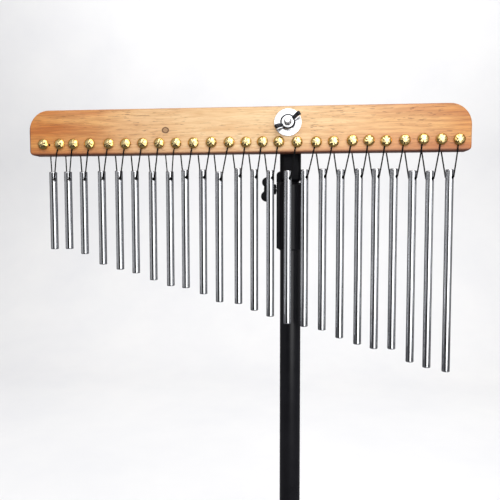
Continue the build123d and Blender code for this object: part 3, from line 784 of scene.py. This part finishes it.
# ---------------------------------------------------------------- clamp bolt
THREAD_PITCH, THREAD_STEP, THREAD_LENGTH, THREAD_SEGMENTS = 1.0, 0.125, 24.0, 40
THREAD_ROOT, THREAD_DEPTH, THREAD_CREST = 2.42, 0.62, 3.0      # radii and depth
BOLT_TIP_RADIUS, SHANK_RADIUS, HEAD_HEIGHT = 2.35, 2.97, 4.0
# hexagon: half the width across flats, height above the shank
BOLT_HEAD = [(4.95, -0.01), (4.95, 3.4), (4.7, 3.95)]


def thread_radius(k, z):
    """Radius at segment k: a triangular ridge, tapered at the tip and faded at the shank."""
    fade = min(1.0, (THREAD_LENGTH - z) / 1.5)
    taper = min(1.0, 0.80 + 0.2 * z / 0.6)
    t = (z / THREAD_PITCH - k / THREAD_SEGMENTS) % 1.0
    ridge = 1 - abs(2 * t - 1)
    radius = THREAD_ROOT + THREAD_DEPTH * min(1.0, ridge * 1.25) + THREAD_DEPTH * (1 - fade)
    return min(THREAD_CREST, radius) * taper


def make_bolt():
    """Threaded bolt with its tip in front and its hexagon head at the back."""
    low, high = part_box("clamp_bolt")
    tip, head = low.y / MM, high.y / MM
    shank = head - tip - HEAD_HEIGHT
    matrix = aim((BOLT_X, tip, BOLT_Z), (0, 1, 0))
    bm = bmesh.new()

    def plain_ring(radius, height, count=THREAD_SEGMENTS):
        return ring(bm, matrix, [radius] * count, [height] * count)

    rings = [plain_ring(BOLT_TIP_RADIUS, 0.0)]
    for i in range(1, int(THREAD_LENGTH / THREAD_STEP) + 1):
        z = i * THREAD_STEP
        radii = [thread_radius(k, z) for k in range(THREAD_SEGMENTS)]
        rings.append(ring(bm, matrix, radii, [z] * THREAD_SEGMENTS))
    rings.append(plain_ring(SHANK_RADIUS, THREAD_LENGTH + 0.4))
    rings.append(plain_ring(SHANK_RADIUS, shank))
    skin(bm, rings)
    skin(bm, [plain_ring(flat / math.cos(math.pi / 6), shank + height, 6)
              for flat, height in BOLT_HEAD])
    ob = object_from("clamp_bolt_threaded", bm, MATERIALS["zinc"])
    shade_smooth(ob.data, sharp_angle=28)
    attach(ob, "riser")
    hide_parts("clamp_bolt")


# ----------------------------------------------------------------- lock knob
# hub, from its +X face towards -X: radius, height
KNOB_HUB = [(0, 0), (4.6, 0), (5.3, 0.7), (5.45, 1.6), (5.2, 8.8), (0, 8.8)]
KNOB_BORE = [(0, -1), (2.5, -1), (2.5, 6.75), (0, 6.75)]
# lobes: X from the hub's +X face, Z from the knob's centre, radius
KNOB_LOBES = [(-9.8, 7.5, 5.3), (-10.5, -7.4, 5.7)]
# web outline: X and Z from the same places; the web reaches 2.2 to each side in Y
KNOB_WEB = [(-2.2, 4.6), (-6.8, 11.2), (-12.2, 6.5), (-13.1, 0.6), (-12.9, -6.0),
            (-7.0, -11.4), (-2.2, -4.6)]
KNOB_WEB_HALF = 2.2


def make_knob_web(face_x, centre_z):
    bm = bmesh.new()
    skin(bm, [[bm.verts.new(Vector((face_x + x, y, centre_z + z)) * MM) for x, z in KNOB_WEB]
              for y in (-KNOB_WEB_HALF, KNOB_WEB_HALF)])
    bmesh.ops.recalc_face_normals(bm, faces=bm.faces)
    return object_from("knob_web", bm)


def make_knob():
    """Moulded two-lobed knob: a web joins the lobes, and all edges run together softly."""
    low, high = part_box("lock_knob")
    centre_z = (low.z + high.z) / 2 / MM
    face_x = high.x / MM
    axis = aim((face_x, 0, centre_z), (-1, 0, 0))
    knob = lathe_object("knob_hub", KNOB_HUB, 64, axis)
    parts = []
    for x, z, radius in KNOB_LOBES:
        rim = [(0, 2.5), (radius - 1.0, 2.5), (radius - 0.25, 2.1), (radius, 1.2)]
        profile = [(r, -height) for r, height in rim] + rim[::-1]
        parts.append(lathe_object("knob_lobe", profile, 72,
                                  aim((face_x + x, 0, centre_z + z), (0, 1, 0))))
    parts.append(make_knob_web(face_x, centre_z))
    for part in parts:
        add_boolean(knob, part, "UNION")
    soften(knob, voxel=0.00028, passes=8)
    cutter = lathe_object("knob_cut", KNOB_BORE, 40, axis)
    add_boolean(knob, cutter, "DIFFERENCE")
    ob = bake("lock_knob_moulded", knob, [*parts, cutter], MATERIALS["matte"])
    shade_smooth(ob.data, sharp_angle=50)
    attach(ob, "lock_knob")
    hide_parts("lock_knob")


# -------------------------------------------------- studio, sizes in metres
FLOOR_X = (-2.6, 2.4)
FLOOR_NEAR, FLOOR_FAR, COVE_RADIUS, WALL_TOP = -2.6, 1.3, 0.9, 3.6
COVE_STEPS = 16
# corners of the flag, in the plane FLAG_Y
FLAG_Y, FLAG_X, FLAG_Z = -0.74, (-0.66, 0.055), (0.15, 0.745)
SKY_DIFFUSE = 0.50
# sky as seen in reflections: degrees from -Y towards +X, brightness
SKY_GLOSSY = [(-180, 0.28), (-130, 0.30), (-95, 0.17), (-75, 0.32), (-50, 0.48), (0, 0.30),
              (45, 0.60), (66, 0.55), (76, 0.26), (88, 0.10), (104, 0.20), (130, 0.34),
              (180, 0.28)]


def paper_material():
    """Pale to the camera, dimmer to diffuse rays and dark to all others."""
    paper = Shader("pale_paper")
    pale = paper.ramp(paper.noise(2.2, rough=0.6),
                      [(0.3, (0.80, 0.80, 0.81)), (0.7, (0.86, 0.855, 0.85))])
    rays = paper.add("ShaderNodeLightPath").outputs
    seen = paper.calc("MAXIMUM", rays["Is Camera Ray"],
                      paper.times(rays["Is Diffuse Ray"], 0.45))
    paper.set(Base_Color=paper.mix(seen, (0.13, 0.13, 0.14), pale), Roughness=0.9,
              Specular_IOR_Level=0.1)
    return paper.material


def make_floor():
    """Floor that curves up into a wall behind the stand."""
    profile = [(FLOOR_NEAR, 0.0), (FLOOR_FAR, 0.0)]
    for k in range(1, COVE_STEPS + 1):
        angle = math.pi / 2 * k / COVE_STEPS
        profile.append((FLOOR_FAR + COVE_RADIUS * math.sin(angle),
                        COVE_RADIUS * (1 - math.cos(angle))))
    profile.append((FLOOR_FAR + COVE_RADIUS, WALL_TOP))
    bm = bmesh.new()
    left, right = [[bm.verts.new((x, y, z)) for y, z in profile] for x in FLOOR_X]
    for k in range(len(profile) - 1):
        bm.faces.new((left[k], right[k], right[k + 1], left[k + 1]))
    floor = object_from("studio_floor", bm, paper_material())
    shade_smooth(floor.data)


def make_world():
    """Even light on surfaces, and bright and dark bands around the horizon in reflections."""
    world = bpy.data.worlds.new("soft_studio")
    bpy.context.scene.world = world
    world.use_nodes = True
    graph = Graph(world.node_tree)
    x, y, _ = graph.split(graph.add("ShaderNodeTexCoord").outputs["Generated"])
    angle = graph.calc("ARCTAN2", x, graph.times(y, -1.0))
    bands = graph.ramp(graph.map_range(angle, -math.pi, math.pi),
                       [((degrees + 180) / 360, (value, value, value * 1.03))
                        for degrees, value in SKY_GLOSSY])
    glossy = graph.add("ShaderNodeLightPath").outputs["Is Glossy Ray"]
    even = (SKY_DIFFUSE, SKY_DIFFUSE, SKY_DIFFUSE * 1.02)
    background = world.node_tree.nodes["Background"]
    graph.feed(background.inputs["Color"], graph.mix(glossy, even, bands))
    background.inputs["Strength"].default_value = 1.0


def add_area(name, place, target, size, radiance, glossy=True):
    """Rectangular light, hidden from the camera, with its power set from its radiance."""
    light = bpy.data.lights.new(name, "AREA")
    light.shape, light.size, light.size_y = "RECTANGLE", size[0], size[1]
    light.energy = radiance * math.pi * size[0] * size[1]
    ob = add_object(name, light)
    ob.location = place
    direction = Vector(target) - Vector(place)
    ob.rotation_euler = direction.to_track_quat("-Z", "Y").to_euler()
    ob.visible_camera = False
    ob.visible_glossy = glossy


def make_lights():
    # the softbox draws the bright line down the rods
    add_area("softbox", place=(0.39, -0.74, 0.70), target=(0.39, 0.0, 0.62),
             size=(0.66, 1.0), radiance=2.1)
    add_area("front_card", place=(-0.30, -0.74, 0.87), target=(-0.30, 0.0, 0.87),
             size=(0.72, 0.23), radiance=1.7)
    add_area("overhead", place=(0.25, -0.75, 1.55), target=(-0.05, -0.03, 0.68),
             size=(1.1, 0.8), radiance=2.7)
    add_area("wall_wash", place=(0.0, 0.35, 2.6), target=(0.0, 2.1, 0.5),
             size=(2.6, 0.9), radiance=7.2, glossy=False)


def make_flag():
    """Dark card, seen in reflections only: the dark line down the rods."""
    bm = bmesh.new()
    corners = ((FLAG_X[0], FLAG_Z[0]), (FLAG_X[1], FLAG_Z[0]),
               (FLAG_X[1], FLAG_Z[1]), (FLAG_X[0], FLAG_Z[1]))
    bm.faces.new([bm.verts.new((x, FLAG_Y, z)) for x, z in corners])
    black = Shader("black_flag")
    mottle = black.plain_noise(black.coords, scale=30.0)
    black.set(Base_Color=black.ramp(mottle, [(0.3, 0.02), (0.7, 0.03)]), Roughness=0.95)
    flag = object_from("black_flag", bm, black.material)
    flag.visible_camera = False
    flag.visible_diffuse = False
    flag.visible_shadow = False


# -------------------------------------------------------------------- camera
# place in mm from the centre of the bar; angles in radians
CAMERA_OFFSET = (59.08, -567.47, -87.02)
YAW, PITCH, ROLL = 0.0905917, 0.0616216, -0.00129956    # turn to -X, tilt down, roll


def make_camera():
    camera = bpy.data.cameras.new("camera")
    ob = add_object("camera", camera)
    level_right = Vector((math.cos(YAW), math.sin(YAW), 0))
    level_ahead = Vector((-math.sin(YAW), math.cos(YAW), 0))
    vertical = Vector((0, 0, 1))
    ahead = level_ahead * math.cos(PITCH) - vertical * math.sin(PITCH)
    upright = vertical * math.cos(PITCH) + level_ahead * math.sin(PITCH)
    right = level_right * math.cos(ROLL) + upright * math.sin(ROLL)
    up = upright * math.cos(ROLL) - level_right * math.sin(ROLL)
    matrix = Matrix((right, up, -ahead)).transposed().to_4x4()
    matrix.translation = (Vector(CAMERA_OFFSET) + Vector((BAR_X, BAR_Y, BAR_Z))) * MM
    ob.matrix_world = matrix
    camera.sensor_width = 36.0
    camera.lens = 39.6
    camera.shift_x = -0.002
    camera.clip_start, camera.clip_end = 0.01, 50
    bpy.context.scene.camera = ob
    bpy.context.scene.view_settings.view_transform = "Standard"


# --------------------------------------------------------------------- build
paint_cad_pieces()
make_studs()
make_rods()
make_cords()
make_wing_nut()
make_bolt()
make_knob()
make_floor()
make_world()
make_lights()
make_flag()
make_camera()
